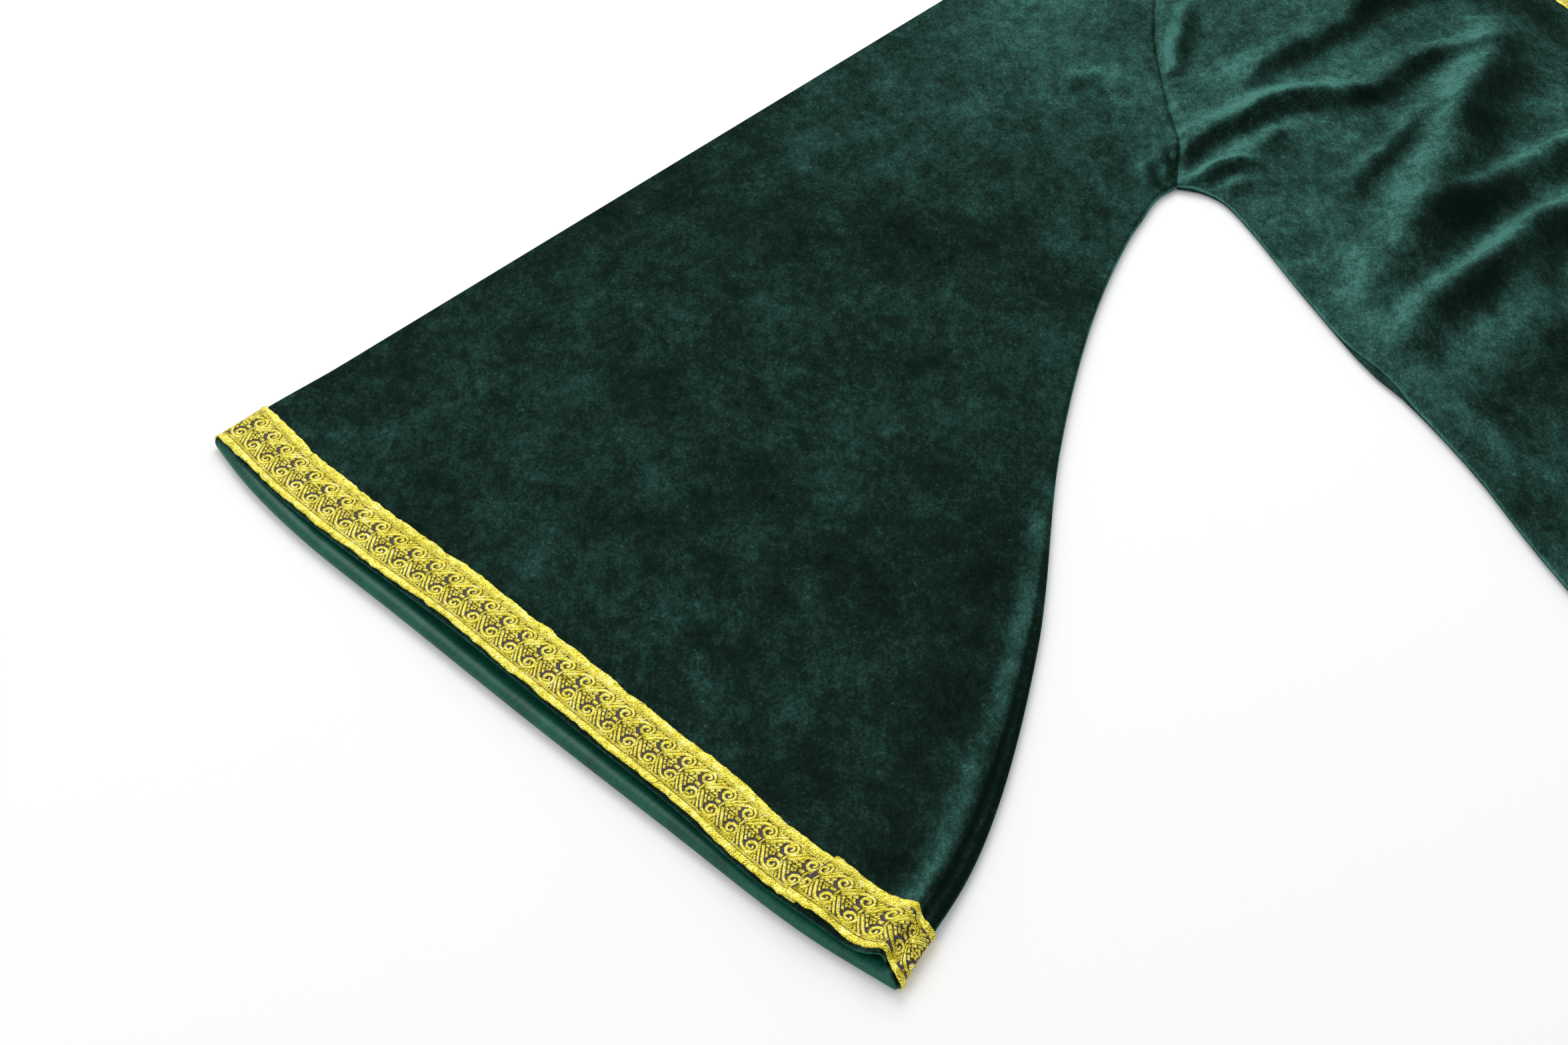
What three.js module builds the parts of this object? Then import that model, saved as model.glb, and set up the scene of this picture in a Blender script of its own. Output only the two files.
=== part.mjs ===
// A long robe of dark green velour, open down the front, with raglan bell sleeves and woven gold ribbon
// round the cuffs and down both front edges. It lies on its back on a flat surface, sleeves spread.
//
// Millimetres, +Z up, +Y towards the neck, +X towards the robe's left sleeve. The shapes are worked out
// from the level of the armpits, and the whole group is then moved so that its origin lies under the
// middle of the laid-out robe, on the surface that it rests on.

import * as THREE from 'three';

// Cloth and ribbon
const CLOTH = 2; // wall of the velour, nap included
const GAP = 0.3; // between two pieces that are sewn or laid together
const LAYERED = 2 * CLOTH + GAP; // height of two layers that lie on each other
const RIBBON = 1; // thickness of the ribbon
const RIBBON_WIDTH = 25;

// Body
const HALF_CHEST = 305; // centre front to armpit
const HALF_OPENING = 11; // centre front to each front edge
const NECK_POINT = 267.4; // height of the shoulder fold at the neck
const HALF_NECK = 105;
const NECK_DEPTH = { front: 95, back: 25 };
const NECK_SEAM_ANGLE = { front: 12, back: 35 }; // degrees round the neckline, from the shoulder fold
const HEM_DROP = 1145; // armpit level to the hem, at the centre

// The front layer of the body is drawn in a little below each armpit, where the back layer shows.
const SIDE_JOG = { up: -160, length: 30, inset: 5 };

// Sleeve
const LIFT_EASE = 34; // behind the ribbon the sleeve comes down to the surface over this distance
const HEM_PULL = 6; // the front layer's cuff hem lies this much further back than the other one
const SLEEVE_PUFF = 3.2; // height of the hollow between the sleeve's layers
const BODY_PUFF = 2.6;

// Seams and edges of one side. "out" runs from the armpit away from the centre front, "up" towards the neck.
const SIDE_SEAM = [
  { out: 174, up: -1120 },
  { out: 106, up: -700 },
  { out: 42, up: -300 },
  { out: 25, up: -230 },
  { out: 17, up: -178 },
  { out: 16.5, up: -157 },
  { out: 5, up: -98 },
  { out: -9, up: -36 },
  { out: -10.5, up: -19 },
  { out: -7, up: -8 },
  { out: 0, up: 0 },
];
const UNDERARM = [
  { out: 375, up: -341 },
  { out: 316, up: -303 },
  { out: 241, up: -230 },
  { out: 162, up: -134 },
  { out: 95, up: -65 },
  { out: 49, up: -26.5 },
  { out: 30, up: -13.5 },
  { out: 12, up: -2.5 },
  { out: 0, up: 0 },
];
const CUFF = [
  { out: 375, up: -341 },
  { out: 389, up: -302 },
  { out: 404.5, up: -237 },
  { out: 421, up: -166 },
  { out: 438, up: -88 },
  { out: 452, up: -24 },
  { out: 457.5, up: 18 },
  { out: 458.4, up: 50 },
];
const RAGLAN = [
  { out: 0, up: 0 },
  { out: -18, up: 22 },
  { out: -35, up: 50 },
  { out: -53, up: 82 },
  { out: -74, up: 115 },
  { out: -100, up: 148 },
  { out: -148, up: 200 },
];

// The largest folds, as soft ridges from one place to another. "in" runs from the armpit towards the
// centre front (negative on the sleeve), "bow" bends the ridge to its left, "width" is half of its breadth.
const RIGHT_FOLDS = [
  { in0: 12, up0: 31, in1: 205, up1: 38, bow: -9, width: 17, height: 8 },
  { in0: 218, up0: 20, in1: -2, up1: -124, bow: -3, width: 19, height: 9 },
  { in0: 150, up0: -6, in1: 55, up1: -50, bow: 3, width: 14, height: 4 },
  { in0: 178, up0: -64, in1: 98, up1: -75, bow: -2, width: 14, height: 5 },
  { in0: 192, up0: -98, in1: 8, up1: -143, bow: 6, width: 17, height: 8 },
  { in0: 213, up0: 60, in1: 240, up1: -95, bow: -4, width: 15, height: 6 },
  { in0: 80, up0: 66, in1: 196, up1: 90, bow: 6, width: 17, height: 6 },
  { in0: 205, up0: -170, in1: 60, up1: -420, bow: 14, width: 24, height: 8 },
  { in0: 120, up0: -330, in1: 150, up1: -790, bow: -12, width: 26, height: 7 },
  { in0: 232, up0: -480, in1: 205, up1: -1150, bow: 10, width: 27, height: 9 },
  { in0: 60, up0: -640, in1: 20, up1: -1150, bow: -9, width: 28, height: 10 },
  { in0: -40, up0: -820, in1: -88, up1: -1150, bow: 6, width: 24, height: 8 },
];
const LEFT_FOLDS = [
  { in0: 14, up0: 26, in1: 188, up1: 52, bow: -7, width: 17, height: 7 },
  { in0: 222, up0: 4, in1: 14, up1: -152, bow: 6, width: 19, height: 9 },
  { in0: 160, up0: -20, in1: 70, up1: -52, bow: -4, width: 14, height: 5 },
  { in0: 236, up0: -64, in1: 90, up1: -196, bow: -9, width: 18, height: 7 },
  { in0: 214, up0: 76, in1: 238, up1: -58, bow: 4, width: 15, height: 5 },
  { in0: 92, up0: 82, in1: 186, up1: 112, bow: 5, width: 16, height: 5 },
  { in0: 176, up0: -236, in1: 92, up1: -520, bow: -12, width: 24, height: 8 },
  { in0: 40, up0: -300, in1: 66, up1: -690, bow: 10, width: 25, height: 7 },
  { in0: 222, up0: -560, in1: 236, up1: -1150, bow: -10, width: 26, height: 8 },
  { in0: 118, up0: -700, in1: 96, up1: -1150, bow: 8, width: 29, height: 10 },
  { in0: -18, up0: -760, in1: -60, up1: -1150, bow: -8, width: 25, height: 8 },
];

// Mesh density, as numbers of steps
const SEAM_STEPS = 11; // up the raglan seam, on every piece that meets it
const SKIRT_STEPS = 30; // hem to armpit on the fronts
const BACK_SKIRT_STEPS = 12;
const FRONT_COLUMNS = 13;
const BACK_COLUMNS = 14;
const SLEEVE_STEPS = 15; // behind the ribbon
const RIBBON_STEPS = 2; // across the ribbon

const VELOUR = new THREE.MeshStandardMaterial({ color: 0x10382f, roughness: 0.9, metalness: 0 });
const GOLD_RIBBON = new THREE.MeshStandardMaterial({ color: 0xc9a227, roughness: 0.45, metalness: 0.4 });

const lerp = THREE.MathUtils.lerp;
const smoothstep = THREE.MathUtils.smoothstep;
const steps = (count) => Array.from({ length: count + 1 }, (_, i) => i / count);

// A smooth curve through the rows of a table, or through points, in "out" and "up"
function curveThrough(rows) {
  const points = rows.map(({ out, up }) => new THREE.Vector3(out, up, 0));
  return new THREE.CatmullRomCurve3(points, false, 'centripetal');
}

// A point of the neckline, at an angle from the shoulder fold round to the centre
function neckline(depth, degrees) {
  const angle = THREE.MathUtils.degToRad(degrees);
  return {
    out: HALF_NECK * Math.cos(angle) - HALF_CHEST,
    up: NECK_POINT - depth * Math.sin(angle),
  };
}

const neckPoint = neckline(0, 0);
const sideSeam = curveThrough(SIDE_SEAM);
const underarm = curveThrough(UNDERARM);
const cuff = curveThrough(CUFF);
const topFold = curveThrough([CUFF[CUFF.length - 1], neckPoint]);
const sleeveLength = underarm.getLength();

// The raglan seam of the front or the back layer, from the armpit to the neckline
function raglanSeam(layer) {
  const end = neckline(NECK_DEPTH[layer], NECK_SEAM_ANGLE[layer]);
  return curveThrough([...RAGLAN, end]);
}
const raglan = { front: raglanSeam('front'), back: raglanSeam('back') };

// The sleeve's upper end: along the raglan seam, then along the neckline to the shoulder fold
const SEAM_SHARE = 0.95;
function sleeveEnd(layer, across) {
  if (across <= SEAM_SHARE) {
    return raglan[layer].getPointAt(across / SEAM_SHARE);
  }
  const rest = (1 - across) / (1 - SEAM_SHARE);
  const { out, up } = neckline(NECK_DEPTH[layer], NECK_SEAM_ANGLE[layer] * rest);
  return new THREE.Vector3(out, up, 0);
}

// The seam moved into the body's panels by the gap
function panelSeam(layer, share) {
  const at = raglan[layer].getPointAt(share);
  const along = raglan[layer].getTangentAt(share);
  return at.add(new THREE.Vector3(-along.y, along.x, 0).multiplyScalar(GAP));
}

// A place on one layer of the sleeve, from four bounding curves: "along" runs from cuff to raglan seam,
// "across" from the underarm seam to the top fold.
function sleevePlace(layer, along, across) {
  const place = new THREE.Vector3();
  const add = (point, share) => place.addScaledVector(point, share);
  add(underarm.getPointAt(along), 1 - across);
  add(topFold.getPointAt(along), across);
  add(cuff.getPointAt(across), 1 - along);
  add(sleeveEnd(layer, across), along);
  add(cuff.getPointAt(0), -(1 - along) * (1 - across));
  add(cuff.getPointAt(1), -(1 - along) * across);
  add(sleeveEnd(layer, 0), -along * (1 - across));
  add(sleeveEnd(layer, 1), -along * across);
  return place;
}

// Height of the folds at a place
function foldHeight(folds, out, up) {
  let height = 0;
  for (const fold of folds) {
    const run = new THREE.Vector2(fold.in1 - fold.in0, fold.up1 - fold.up0);
    const length = run.length();
    const offset = new THREE.Vector2(-out - fold.in0, up - fold.up0);
    const share = offset.dot(run) / (length * length);
    if (share > 0 && share < 1) {
      const rise = 4 * share * (1 - share);
      const aside = offset.cross(run) / length + fold.bow * rise;
      height += fold.height * Math.sqrt(rise) * Math.exp(-((aside / fold.width) ** 2));
    }
  }
  return height;
}

// A closed wall between two grids of points. A ring's columns run round and join up.
function wall(outer, inner, ring = false) {
  const rows = outer.length;
  const columns = outer[0].length;
  const positions = [...outer.flat(), ...inner.flat()].flatMap((p) => [p.x, p.y, p.z]);
  const outside = (i, j) => i * columns + (j % columns);
  const inside = (i, j) => rows * columns + outside(i, j);
  const triangles = [];
  const quad = (a, b, c, d) => triangles.push(a, b, c, a, c, d);
  const lastColumn = ring ? columns : columns - 1;
  for (let i = 0; i < rows - 1; i += 1) {
    for (let j = 0; j < lastColumn; j += 1) {
      quad(outside(i, j), outside(i, j + 1), outside(i + 1, j + 1), outside(i + 1, j));
      quad(inside(i, j), inside(i + 1, j), inside(i + 1, j + 1), inside(i, j + 1));
    }
  }
  for (let j = 0; j < lastColumn; j += 1) {
    const end = rows - 1;
    quad(outside(0, j), inside(0, j), inside(0, j + 1), outside(0, j + 1));
    quad(outside(end, j), outside(end, j + 1), inside(end, j + 1), inside(end, j));
  }
  if (!ring) {
    const end = columns - 1;
    for (let i = 0; i < rows - 1; i += 1) {
      quad(outside(i, 0), outside(i + 1, 0), inside(i + 1, 0), inside(i, 0));
      quad(outside(i, end), inside(i, end), inside(i + 1, end), outside(i + 1, end));
    }
  }
  return { positions, triangles };
}

// Six times the volume inside, negative where the faces point inwards
function signedVolume({ positions, triangles }) {
  const corner = (index) => new THREE.Vector3().fromArray(positions, 3 * triangles[index]);
  let volume = 0;
  for (let i = 0; i < triangles.length; i += 3) {
    volume += corner(i).dot(corner(i + 1).cross(corner(i + 2)));
  }
  return volume;
}

function piece(name, material, solid) {
  if (signedVolume(solid) < 0) {
    solid.triangles.reverse();
  }
  const geometry = new THREE.BufferGeometry();
  geometry.setAttribute('position', new THREE.Float32BufferAttribute(solid.positions, 3));
  geometry.setIndex(solid.triangles);
  geometry.computeVertexNormals();
  const mesh = new THREE.Mesh(geometry, material);
  mesh.name = name;
  return mesh;
}

// From "out" and "up" to the robe's own axes. side is -1 on the robe's right and 1 on its left.
const settle = (side, { x: out, y: up }, z) => new THREE.Vector3(side * (HALF_CHEST + out), up, z);
const raised = (grid, height) => grid.map((row) => row.map((p) => p.clone().setZ(p.z + height)));

// The share of the sleeve's length that the ribbon covers at a place across it. The top fold is longer than
// the underarm seam, and the ribbon is as wide at both.
const HEM_SAMPLE = 0.05;
function ribbonShare(across) {
  const step = sleevePlace('front', HEM_SAMPLE, across).sub(cuff.getPointAt(across));
  const width = Math.abs(step.cross(cuff.getTangentAt(across)).z);
  return (HEM_SAMPLE * RIBBON_WIDTH) / width;
}

// The stations of a sleeve: across the ribbon in equal steps, then up to the raglan seam. Each has its
// share of the ribbon's width and its share of the length behind it.
function sleeveStations() {
  const under = steps(RIBBON_STEPS).map((share) => ({ ribbon: share, behind: 0 }));
  const rest = steps(SLEEVE_STEPS).slice(1).map((share) => ({ ribbon: 1, behind: share ** 0.9 }));
  return [...under, ...rest];
}

function stationAlong(station, across) {
  return lerp(station.ribbon * ribbonShare(across), 1, station.behind);
}

// Height of the sleeve's underside, which the ribbon round the cuff lifts off the surface
function cuffLift(station) {
  return (RIBBON + GAP) * (1 - smoothstep(station.behind * sleeveLength, 0, LIFT_EASE));
}

// Height of the top of the front layer above the underside, on the sleeve
function sleeveTop(folds, place, along, across) {
  const puff = SLEEVE_PUFF * Math.sin(Math.PI * across) * (1 - smoothstep(along, 0.8, 1));
  return LAYERED + puff + foldHeight(folds, place.x, place.y);
}

// The ring of a sleeve, from the underarm edge over the front layer and back under it. The steps between
// follow the raglan seam's own, so that the sleeve meets the panels corner to corner.
const EDGE_SHARE = 0.0055; // the cloth's thickness, as a share of the sleeve's width
const EDGE_SPREAD = 1.4; // how much further out than the layers the ribbon runs round an edge
const RIBBON_START = 0.095; // on the front layer, as shares of its width
const RIBBON_END = 0.125;
function ringStations() {
  const seam = steps(SEAM_STEPS).slice(1).map((share) => share * SEAM_SHARE);
  const across = [EDGE_SHARE, ...seam, RIBBON_START, 1 - EDGE_SHARE].sort((a, b) => a - b);
  const front = [...across, RIBBON_END].sort((a, b) => a - b);
  return [
    { layer: 'edge', across: 0 },
    ...front.map((share) => ({ layer: 'front', across: share })),
    { layer: 'edge', across: 1 },
    ...across.reverse().map((share) => ({ layer: 'back', across: share })),
  ];
}

// An edge of the sleeve, moved out in its own plane, or in by a share of the width
function sleeveEdge(along, across, offset) {
  const inwards = across === 0 ? EDGE_SHARE : 1 - EDGE_SHARE;
  const inner = sleevePlace('front', along, inwards);
  if (offset < 0) {
    return inner;
  }
  const edge = sleevePlace('front', along, across);
  return edge.addScaledVector(edge.clone().sub(inner), (EDGE_SPREAD * offset) / CLOTH);
}

// The outer points of a sleeve moved out by an offset, as a grid of stations by ring. The inner points
// come from the same function with the cloth's thickness as a negative offset.
function sleeveGrid(side, folds, stations, offset) {
  const clear = offset < 0 ? 1.5 * EDGE_SHARE : 0;
  return stations.map((station) => ringStations().map(({ layer, across }) => {
    const lift = cuffLift(station);
    const along = stationAlong(station, across);
    if (layer === 'edge') {
      return settle(side, sleeveEdge(along, across, offset), lift + LAYERED / 2);
    }
    const drawn = THREE.MathUtils.clamp(across, clear, 1 - clear);
    if (layer === 'back') {
      return settle(side, sleevePlace('back', along, drawn), lift - offset);
    }
    const pull = (HEM_PULL / sleeveLength) * Math.sqrt(Math.sin(Math.PI * across)) * (1 - along);
    const place = sleevePlace('front', along + pull, drawn);
    return settle(side, place, lift + sleeveTop(folds, place, along, drawn) + offset);
  }));
}

function sleeve(side, folds) {
  const stations = sleeveStations();
  return wall(sleeveGrid(side, folds, stations, 0), sleeveGrid(side, folds, stations, -CLOTH), true);
}

// The cuff ribbon starts on the front layer, runs over the top fold, under the sleeve and up round the
// underarm edge, and ends on top of its own start.
function cuffRibbon(side, folds) {
  const stations = sleeveStations().slice(0, RIBBON_STEPS + 1);
  const ring = ringStations();
  const onFront = (share) => ring.findIndex((r) => r.layer === 'front' && r.across === share);
  const start = onFront(RIBBON_START);
  const last = ring.length + onFront(RIBBON_END);
  const strip = (offset) => {
    const close = sleeveGrid(side, folds, stations, offset);
    const over = sleeveGrid(side, folds, stations, offset + RIBBON + GAP);
    return close.map((row, i) => {
      const points = [];
      for (let j = start; j <= last; j += 1) {
        const source = j >= ring.length + start ? over[i] : row;
        points.push(source[j % ring.length].clone());
      }
      return points;
    });
  };
  return wall(strip(GAP + RIBBON), strip(GAP));
}

// Rows of a body panel, from the hem to the armpit and on to the neck. Each row has its end on the side
// or raglan seam, its end on the centre line, and how far up the raglan seam it lies.
function panelRows(layer, skirtSteps) {
  const centreTop = NECK_POINT - NECK_DEPTH[layer];
  const skirt = steps(skirtSteps).slice(0, -1).map((share) => ({
    edge: sideSeam.getPointAt(share),
    centreUp: lerp(-HEM_DROP, 0, share),
    yoke: 0,
  }));
  const yoke = steps(SEAM_STEPS).map((share) => ({
    edge: panelSeam(layer, share),
    centreUp: lerp(0, centreTop, share),
    yoke: share,
  }));
  return [...skirt, ...yoke];
}

// A front panel's points, as rows of places. The last columns are those under the ribbon.
function frontPlaces() {
  const seamAngle = NECK_SEAM_ANGLE.front;
  const centreOut = HALF_OPENING - HALF_CHEST;
  return panelRows('front', SKIRT_STEPS).map(({ edge, centreUp, yoke }) => {
    const jog = SIDE_JOG.inset * Math.exp(-(((edge.y - SIDE_JOG.up) / SIDE_JOG.length) ** 2));
    const ribbonOut = centreOut + RIBBON_WIDTH;
    const body = steps(FRONT_COLUMNS).map((share) => lerp(edge.x - jog, ribbonOut, share));
    const ribbon = steps(RIBBON_STEPS).slice(1).map((share) => lerp(ribbonOut, centreOut, share));
    const neckEdge = neckline(NECK_DEPTH.front, seamAngle).out;
    return [...body, ...ribbon].map((out) => {
      const share = (out - edge.x) / (centreOut - edge.x);
      const skirtUp = centreUp + (edge.y - centreUp) * (1 - share) ** 2;
      const straightUp = lerp(edge.y, centreUp, share);
      const fromCentre = (HALF_CHEST + lerp(neckEdge, centreOut, share)) / HALF_NECK;
      const neckUp = NECK_POINT - NECK_DEPTH.front * Math.sqrt(1 - fromCentre ** 2);
      const neckStart = neckline(NECK_DEPTH.front, seamAngle).up;
      const dip = neckUp - lerp(neckStart, NECK_POINT - NECK_DEPTH.front, share);
      const up = yoke > 0 ? straightUp + dip * yoke ** 2 : skirtUp;
      return { place: new THREE.Vector3(out, up, 0), share };
    });
  });
}

// The top of a front panel
function frontGrid(side, folds) {
  return frontPlaces().map((row) => row.map(({ place, share }) => {
    const puff = BODY_PUFF * smoothstep(share, 0, 0.2) * (1 - smoothstep(share, 0.8, 1));
    return settle(side, place, LAYERED + puff + foldHeight(folds, place.x, place.y));
  }));
}

function front(side, folds) {
  const top = frontGrid(side, folds);
  return wall(top, raised(top, -CLOTH));
}

function frontRibbon(side, folds) {
  const under = frontGrid(side, folds).map((row) => row.slice(-RIBBON_STEPS - 1));
  return wall(raised(under, GAP + RIBBON), raised(under, GAP));
}

function back() {
  const seamEnd = neckline(NECK_DEPTH.back, NECK_SEAM_ANGLE.back);
  const top = panelRows('back', BACK_SKIRT_STEPS).map(({ edge, centreUp, yoke }) => (
    steps(BACK_COLUMNS).map((share) => {
      const across = 2 * share - 1;
      const fromCentre = (across * (HALF_CHEST + seamEnd.out)) / HALF_NECK;
      const neckUp = NECK_POINT - NECK_DEPTH.back * Math.sqrt(1 - fromCentre ** 2);
      const skirtUp = centreUp + (edge.y - centreUp) * across ** 2;
      const up = yoke > 0 ? edge.y + (neckUp - seamEnd.up) * yoke ** 2 : skirtUp;
      return new THREE.Vector3(across * (HALF_CHEST + edge.x), up, CLOTH);
    })
  ));
  return wall(top, raised(top, -CLOTH));
}

const robe = new THREE.Group();
robe.add(piece('back', VELOUR, back()));
const SIDES = [
  { name: 'right', side: -1, folds: RIGHT_FOLDS },
  { name: 'left', side: 1, folds: LEFT_FOLDS },
];
for (const { name, side, folds } of SIDES) {
  robe.add(piece(`front_${name}`, VELOUR, front(side, folds)));
  robe.add(piece(`sleeve_${name}`, VELOUR, sleeve(side, folds)));
  robe.add(piece(`cuff_ribbon_${name}`, GOLD_RIBBON, cuffRibbon(side, folds)));
  robe.add(piece(`front_ribbon_${name}`, GOLD_RIBBON, frontRibbon(side, folds)));
}
robe.position.y = (HEM_DROP - NECK_POINT) / 2;

export default robe;
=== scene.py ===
"""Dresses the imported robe: velour panels with their folds, jersey inside, and woven gold ribbon.

Lengths are in millimetres, as in the solids, until a mesh is made. "out" runs from an armpit away from the
centre front, "in" the other way, and "up" from the armpits towards the neck.
"""

import math

import bpy
import numpy as np
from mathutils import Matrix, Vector


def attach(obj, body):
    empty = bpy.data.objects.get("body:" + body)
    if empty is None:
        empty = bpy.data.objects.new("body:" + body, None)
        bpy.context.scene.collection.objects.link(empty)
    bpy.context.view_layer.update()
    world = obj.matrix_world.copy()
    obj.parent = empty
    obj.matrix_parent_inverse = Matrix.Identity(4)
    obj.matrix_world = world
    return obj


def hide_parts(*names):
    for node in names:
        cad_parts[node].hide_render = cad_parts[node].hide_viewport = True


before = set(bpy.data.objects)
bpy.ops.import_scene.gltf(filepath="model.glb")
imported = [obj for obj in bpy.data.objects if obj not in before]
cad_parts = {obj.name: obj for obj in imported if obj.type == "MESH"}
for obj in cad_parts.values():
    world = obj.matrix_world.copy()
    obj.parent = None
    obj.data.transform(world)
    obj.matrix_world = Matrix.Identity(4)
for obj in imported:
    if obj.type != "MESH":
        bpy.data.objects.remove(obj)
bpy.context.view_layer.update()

# ---- sizes, as in the solids
MM = 0.001
CLOTH = 2.0
LAYERED = 4.3  # two layers that lie on each other
MIDDLE = LAYERED / 2
RIBBON_WIDTH = 25.0
HALF_CHEST = 305.0
HALF_OPENING = 11.0
NECK_POINT = 267.4
HALF_NECK = 105.0
NECK_DEPTH = {"front": 95.0, "back": 25.0}
NECK_SEAM_ANGLE = {"front": 12.0, "back": 35.0}
HEM_DROP = 1145.0
ORIGIN_UP = (HEM_DROP - NECK_POINT) / 2
CUFF_LIFT, LIFT_EASE = 1.3, 34.0  # the ribbon's lift under the cuff, and where behind it that ends
HEM_PULL = 6.0  # the front layer's cuff hem lies this much further back than the other one
SLEEVE_PUFF = 3.2
BODY_PUFF = 2.6
SIDE_JOG = {"up": -160.0, "length": 17.0, "inset": 4.2}  # where a front lies inside the back's edge
SEAM_SHARE = 0.95  # of the sleeve's upper end, the rest lies on the neckline

# Curves through places (out, up): hem to armpit, cuff to armpit, underarm edge to top fold, armpit to neck
SIDE_SEAM = [(174, -1120), (106, -700), (42, -300), (25, -230), (17, -178), (16.5, -157), (5, -98),
             (-9, -36), (-10.5, -19), (-7, -8), (0, 0)]
UNDERARM = [(375, -341), (316, -303), (241, -230), (162, -134), (95, -65), (49, -26.5), (30, -13.5),
            (12, -2.5), (0, 0)]
CUFF = [(375, -341), (389, -302), (404.5, -237), (421, -166), (438, -88), (452, -24), (457.5, 18),
        (458.4, 50)]
RAGLAN = [(0, 0), (-18, 22), (-35, 50), (-53, 82), (-74, 115), (-100, 148), (-148, 200)]

# Folds: a crest through places (in, up), the widths on the right and the left of its run, and its height
RIGHT_FOLDS = [
    ([(4, 14), (22, 20), (41, 23), (56, 23.5), (72, 25.5), (87, 24.5), (100, 20.5), (119, 11.5), (128, 11)],
     6, 14, 8.0),
    ([(109, 15), (123, 12), (139, 16), (159, 21), (177, 23), (197, 17), (211, 3)], 6, 12, 5.5),
    ([(57, 39), (92, 57), (125, 64), (154, 68), (178, 79), (207, 79), (228, 67), (247, 35), (252, 5)],
     7, 18, 6),
    ([(8, -126), (33, -108), (56, -97), (83, -80), (111, -58), (140, -35), (172, -13), (203, 11),
      (218, 25), (228, 40)], 15, 14, 10.5),
    ([(54, -53), (74, -44), (102, -31), (131, -18), (152, -13)], 6, 6, 4.5),
    ([(72, -92), (104, -84), (122, -83), (145, -78), (164, -75), (188, -72), (216, -64)], 11, 9, 7.0),
    ([(-5, -160), (30, -140), (51, -134), (72, -129), (94, -124), (119, -117), (143, -117), (173, -111),
      (202, -100)], 11, 10, 8.5),
    ([(62, -190), (80, -156), (92, -142), (110, -129)], 8, 15, 4.5),
    ([(4, -12), (9, -6), (23, -2.5), (34, -5), (42, -13)], 3.2, 6, 5),
    ([(46, -2), (58, 4), (70, 9)], 5, 7, 2.6),
    ([(8, -22), (18, -18), (30, -17)], 2.6, 4, 2.5),
    ([(58, 80), (72, 95), (88, 112), (108, 136)], 6, 4, 4.5),
    ([(50, 80), (60, 94), (72, 109)], 4, 3.5, -3),
    ([(-15, 0), (-10, 11), (-1, 24)], 3, 3.5, 2.6),
    ([(-4, 2), (3, 13), (10, 28)], 2.6, 3, 2.2),
    ([(4, 97), (20, 93), (27, 76)], 4, 6, 2.6),
    ([(246, 70), (251, 30), (252, 0), (250, -60), (244, -130)], 8, 10, -6),
    ([(-12, -158), (0, -185), (-5, -215), (-9, -242), (-9, -268), (-13, -320)], 5, 7, 3.6),
    ([(60, -420), (120, -280), (205, -190)], 18, 24, 8),
    ([(120, -330), (124, -560), (150, -790)], 20, 26, 7),
    ([(232, -480), (226, -800), (205, -1150)], 20, 27, 9),
    ([(60, -640), (50, -900), (20, -1150)], 21, 28, 10),
    ([(-40, -820), (-58, -990), (-88, -1150)], 18, 24, 8),
]
LEFT_FOLDS = [
    ([(12, 20), (60, 36), (110, 42), (150, 38), (196, 52)], 6.5, 17, 8),
    ([(12, -152), (80, -112), (150, -50), (222, 6)], 10, 18, 9),
    ([(66, -54), (110, -38), (162, -18)], 6, 13, 5),
    ([(88, -198), (150, -150), (238, -62)], 10, 17, 7),
    ([(240, -60), (232, 10), (214, 76)], 9, 14, 5),
    ([(80, 70), (130, 94), (190, 112)], 10, 18, 5),
    ([(38, 66), (62, 90), (98, 130)], 5, 6, 3.5),
    ([(6, -6), (24, 2), (58, 0)], 3.5, 6, 4.5),
    ([(4, -20), (16, -16), (30, -15)], 3, 4, 2.5),
    ([(-16, 2), (-9, 12), (-2, 26)], 3, 3.5, 2.4),
    ([(92, -520), (124, -370), (176, -236)], 18, 24, 8),
    ([(66, -690), (44, -500), (40, -300)], 19, 25, 7),
    ([(236, -1150), (238, -860), (222, -560)], 20, 26, 8),
    ([(96, -1150), (98, -900), (118, -700)], 22, 29, 10),
    ([(-60, -1150), (-48, -940), (-18, -760)], 19, 25, 8),
]
TROUGH = 0.08  # depth of the hollow along a fold's steep side, as a share of its height

# How a fold changes along its crest: the amount, and the length of a change
FOLD_WANDER = (1.3, 17.0)
FOLD_BREADTH = (0.2, 40.0)
FOLD_SWELL = (0.25, 33.0)

# Patches painted darker or lighter, partly painted shade and light of folds with the painted shadow beside
# the front ribbon, partly the pile's own tone: in, up, half width, half height, amount
SHADE_AND_NAP_PATCHES = [
    (253, 25, 11, 42, -0.30), (241, 5, 10, 16, -0.12),
    (197, -12, 22, 11, -0.20), (199, -52, 26, 12, -0.20),
    (98, -96, 20, 12, -0.16), (74, -148, 26, 12, -0.18),
    (90, -162, 20, 14, 0.14), (92, 66, 34, 12, 0.12),
    (118, 8, 22, 8, -0.14), (30, 80, 12, 22, 0.12),
    (2, 45, 26, 16, -0.10), (8, -162, 13, 13, -0.15),
    (28, -203, 26, 21, -0.20), (62, -188, 26, 13, -0.10),
    (-27, -262, 13, 30, -0.15), (24, -240, 18, 30, -0.12),
    (17, -142, 13, 9, 0.08), (-5, -226, 5, 34, 0.20),
    (-150, -60, 60, 34, 0.06), (-205, -190, 46, 30, -0.07),
]
LEFT_PATCH_SHIFT = (14, -22)
SHADED_SLOPE_DIRECTION = np.array([0.2, -0.98, 0.0])  # the way down which a slope is painted darker and up which it is painted lighter: painted shade and light
SKIRT_SHADED_SLOPE_DIRECTION = np.array([0.5, 0.3, 0.0])  # what the skirt adds to it,
SKIRT_SHADE_BLEND = (-60, 160)  # from none to all of it between these distances below the robe's middle
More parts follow.
